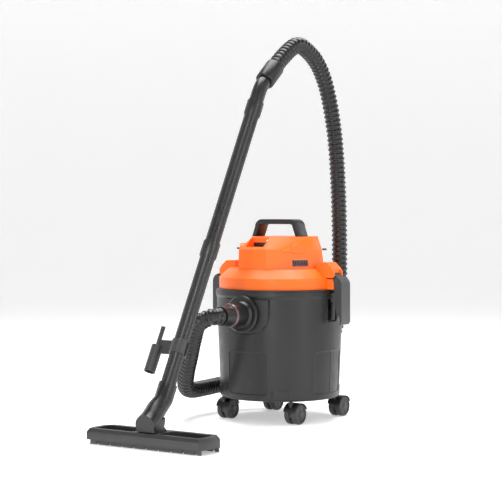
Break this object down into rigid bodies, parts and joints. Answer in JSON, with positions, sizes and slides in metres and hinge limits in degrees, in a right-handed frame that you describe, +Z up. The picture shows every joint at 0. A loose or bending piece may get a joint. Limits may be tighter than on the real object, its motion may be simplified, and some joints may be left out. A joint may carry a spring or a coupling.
{
  "type": "shop vacuum",
  "caption": "Wheeled drum vacuum cleaner with an orange lift-off motor head, carry handle, side latches, corrugated hose, angled wand and wide floor nozzle.",
  "frame": {"origin": "on the floor, under the middle of the box around the machine without its hose", "axes": "+Z up, -Y the way the hose inlet and the floor nozzle look, +X to the right seen from the front"},
  "size_m": [0.3958, 0.7736, 0.8702],
  "materials": {
    "drum_shell": "satin moulded polypropylene with a fine grain",
    "orange_shell": "semi-gloss moulded plastic",
    "handle": "semi-gloss black plastic",
    "black_plastic": "satin black plastic",
    "inner_plastic": "plain moulded plastic",
    "latch": "satin grey plastic",
    "tube": "semi-gloss extruded plastic",
    "nozzle": "satin moulded plastic",
    "holder": "satin moulded plastic",
    "hose": "ribbed flexible plastic",
    "wheel": "hard moulded plastic",
    "collar": "glossy ring",
    "rubber": "soft rubber",
    "steel": "plain steel",
    "motor_steel": "stamped motor can",
    "white_plastic": "plain moulded plastic",
    "filter_cloth": "non-woven filter cloth"
  },
  "bodies": {
    "drum_and_wand": {"drum": "drum_shell", "drum_hose_cuff": "black_plastic", "hose": "hose", "hose_collar": "collar", "inlet_deflector": "inner_plastic", "inlet_port": "black_plastic", "nozzle_neck": "tube", "wand_bend": "tube", "wand_hose_cuff": "black_plastic", "wand_tube_lower": "tube", "wand_tube_upper": "tube"},
    "head": {"lid": "orange_shell", "motor_cover": "orange_shell", "carry_handle": "handle", "vent_grille_left": "inner_plastic", "vent_grille_right": "inner_plastic", "handle_screw_left": "steel", "handle_screw_right": "steel", "switch_box": "inner_plastic", "cord_hook_left": "latch", "cord_hook_right": "latch", "cable_gland": "rubber", "latch_pin_left": "steel", "latch_pin_right": "steel", "lid_gasket": "rubber", "fan_chamber": "inner_plastic", "motor_plate": "inner_plastic", "motor": "motor_steel", "filter_cage": "inner_plastic", "filter_sleeve": "filter_cloth"},
    "right_latch": {"latch_right": "latch"},
    "left_latch": {"latch_left": "latch"},
    "switch": {"switch_rocker": "handle"},
    "float": {"float_ball": "white_plastic"},
    "rotor": {"motor_shaft": "steel", "fan_wheel": "white_plastic"},
    "holder": {"accessory_holder": "holder"},
    "floor_nozzle": {"nozzle_body": "nozzle", "nozzle_sole": "nozzle", "nozzle_strip_front": "rubber", "nozzle_strip_rear": "rubber"},
    "caster_front_left": {"caster_hood_front_left": "black_plastic"},
    "wheels_front_left": {"caster_axle_front_left": "steel", "caster_wheel_front_left_left": "wheel", "caster_wheel_front_left_right": "wheel"},
    "caster_front_right": {"caster_hood_front_right": "black_plastic"},
    "wheels_front_right": {"caster_axle_front_right": "steel", "caster_wheel_front_right_left": "wheel", "caster_wheel_front_right_right": "wheel"},
    "caster_rear_left": {"caster_hood_rear_left": "black_plastic"},
    "wheels_rear_left": {"caster_axle_rear_left": "steel", "caster_wheel_rear_left_left": "wheel", "caster_wheel_rear_left_right": "wheel"},
    "caster_rear_right": {"caster_hood_rear_right": "black_plastic"},
    "wheels_rear_right": {"caster_axle_rear_right": "steel", "caster_wheel_rear_right_left": "wheel", "caster_wheel_rear_right_right": "wheel"}
  },
  "joints": [
    {"name": "head_lift", "type": "slide", "parent": "drum_and_wand", "child": "head", "axis": [0, 0, 1], "range_m": [0, 0.16]},
    {"name": "right_latch_swing", "type": "hinge", "parent": "head", "child": "right_latch", "pos_m": [0.142, 0.21108, 0.332], "axis": [0, -1, 0], "range_deg": [0, 75]},
    {"name": "left_latch_swing", "type": "hinge", "parent": "head", "child": "left_latch", "pos_m": [-0.164, 0.21108, 0.332], "axis": [0, 1, 0], "range_deg": [0, 75]},
    {"name": "switch_rock", "type": "hinge", "parent": "head", "child": "switch", "pos_m": [-0.011, 0.13908, 0.4005], "axis": [0, 0, 1], "range_deg": [0, 14]},
    {"name": "float_rise", "type": "slide", "parent": "head", "child": "float", "axis": [0, 0, 1], "range_m": [0, 0.02]},
    {"name": "rotor_spin", "type": "hinge", "parent": "head", "child": "rotor", "pos_m": [-0.011, 0.21108, 0.36], "axis": [0, 0, 1], "continuous": true},
    {"name": "holder_turn", "type": "hinge", "parent": "drum_and_wand", "child": "holder", "pos_m": [0.039, -0.27092, 0.124], "axis": [0, 0.4679, 0.8838], "continuous": true},
    {"name": "nozzle_tilt", "type": "hinge", "parent": "drum_and_wand", "child": "floor_nozzle", "pos_m": [0.039, -0.32092, 0.0285], "axis": [1, 0, 0], "range_deg": [0, 35]},
    {"name": "front_left_swivel", "type": "hinge", "parent": "drum_and_wand", "child": "caster_front_left", "pos_m": [-0.1035, 0.11858, 0.049], "axis": [0, 0, 1], "continuous": true},
    {"name": "front_left_roll", "type": "hinge", "parent": "caster_front_left", "child": "wheels_front_left", "pos_m": [-0.1035, 0.13558, 0.023], "axis": [1, 0, 0], "continuous": true},
    {"name": "front_right_swivel", "type": "hinge", "parent": "drum_and_wand", "child": "caster_front_right", "pos_m": [0.0815, 0.11858, 0.049], "axis": [0, 0, 1], "continuous": true},
    {"name": "front_right_roll", "type": "hinge", "parent": "caster_front_right", "child": "wheels_front_right", "pos_m": [0.0815, 0.13558, 0.023], "axis": [1, 0, 0], "continuous": true},
    {"name": "rear_left_swivel", "type": "hinge", "parent": "drum_and_wand", "child": "caster_rear_left", "pos_m": [-0.1035, 0.30358, 0.049], "axis": [0, 0, 1], "continuous": true},
    {"name": "rear_left_roll", "type": "hinge", "parent": "caster_rear_left", "child": "wheels_rear_left", "pos_m": [-0.1035, 0.32058, 0.023], "axis": [1, 0, 0], "continuous": true},
    {"name": "rear_right_swivel", "type": "hinge", "parent": "drum_and_wand", "child": "caster_rear_right", "pos_m": [0.0815, 0.30358, 0.049], "axis": [0, 0, 1], "continuous": true},
    {"name": "rear_right_roll", "type": "hinge", "parent": "caster_rear_right", "child": "wheels_rear_right", "pos_m": [0.0815, 0.32058, 0.023], "axis": [1, 0, 0], "continuous": true}
  ],
  "couplings": [
    {"joint": "right_latch_swing", "follows": "head_lift", "rad_per_m": 8.18},
    {"joint": "left_latch_swing", "follows": "head_lift", "rad_per_m": 8.18}
  ]
}
